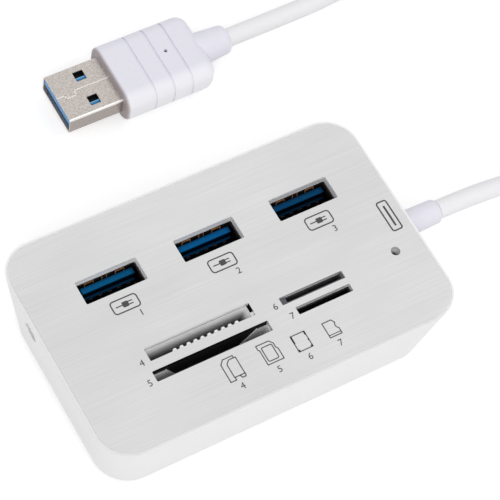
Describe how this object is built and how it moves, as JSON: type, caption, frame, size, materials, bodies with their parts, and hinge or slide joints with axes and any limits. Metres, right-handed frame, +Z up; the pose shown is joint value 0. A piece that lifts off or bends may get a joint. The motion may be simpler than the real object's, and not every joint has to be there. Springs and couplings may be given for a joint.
{
  "type": "usb hub card reader",
  "caption": "Desk hub in a white tapered body with a brushed metal top plate, upright ports, upright card slots, a power jack and a short cord with a plug.",
  "frame": {"origin": "on the table under the middle of the hub's body, between its feet", "axes": "+X along the long side toward the cord, +Y toward the ports' back edge, +Z up through the top plate"},
  "size_m": [0.1864, 0.0919, 0.0199],
  "materials": {
    "brushed_plate": "brushed along the long side",
    "white_shell": "satin white",
    "foot_rubber": "matt",
    "screw_steel": "plain",
    "board_green": "solder mask",
    "bright_nickel": "satin nickel",
    "cover_steel": "plain",
    "blue_plastic": "moulded",
    "contact_metal": "gilt",
    "white_socket": "moulded",
    "black_plastic": "moulded",
    "grey_plastic": "moulded",
    "lamp_lens": "clear dark",
    "chip_black": "moulded",
    "can_metal": "plain",
    "cord_white": "satin white",
    "lead_plastic": "wire jackets"
  },
  "bodies": {
    "root": {"top_plate": "brushed_plate", "housing": "white_shell", "base_cover": "white_shell", "base_screws": "screw_steel", "rubber_feet": "foot_rubber", "main_board": "board_green", "port_1_shell": "bright_nickel", "port_1_tongue": "blue_plastic", "port_1_contacts": "contact_metal", "port_2_shell": "bright_nickel", "port_2_tongue": "blue_plastic", "port_2_contacts": "contact_metal", "port_3_shell": "bright_nickel", "port_3_tongue": "blue_plastic", "port_3_contacts": "contact_metal", "comb_socket": "white_socket", "comb_contacts": "contact_metal", "wide_socket": "black_plastic", "wide_cover": "cover_steel", "wide_contacts": "contact_metal", "slim_socket": "grey_plastic", "slim_contacts": "contact_metal", "micro_socket": "black_plastic", "micro_contacts": "contact_metal", "power_led": "lamp_lens", "led_spacer": "white_socket", "led_leads": "cover_steel", "power_jack_body": "black_plastic", "power_jack_pin": "contact_metal", "power_jack_spring": "contact_metal", "hub_chip": "chip_black", "card_chip": "chip_black", "crystals": "can_metal", "chip_passives": "chip_black", "can_capacitors": "can_metal", "strain_relief": "cord_white", "cord_leads": "lead_plastic", "cord": "cord_white", "plug_grip": "cord_white", "plug_shell": "bright_nickel", "plug_insulator": "blue_plastic", "plug_contacts": "contact_metal"}
  },
  "joints": []
}
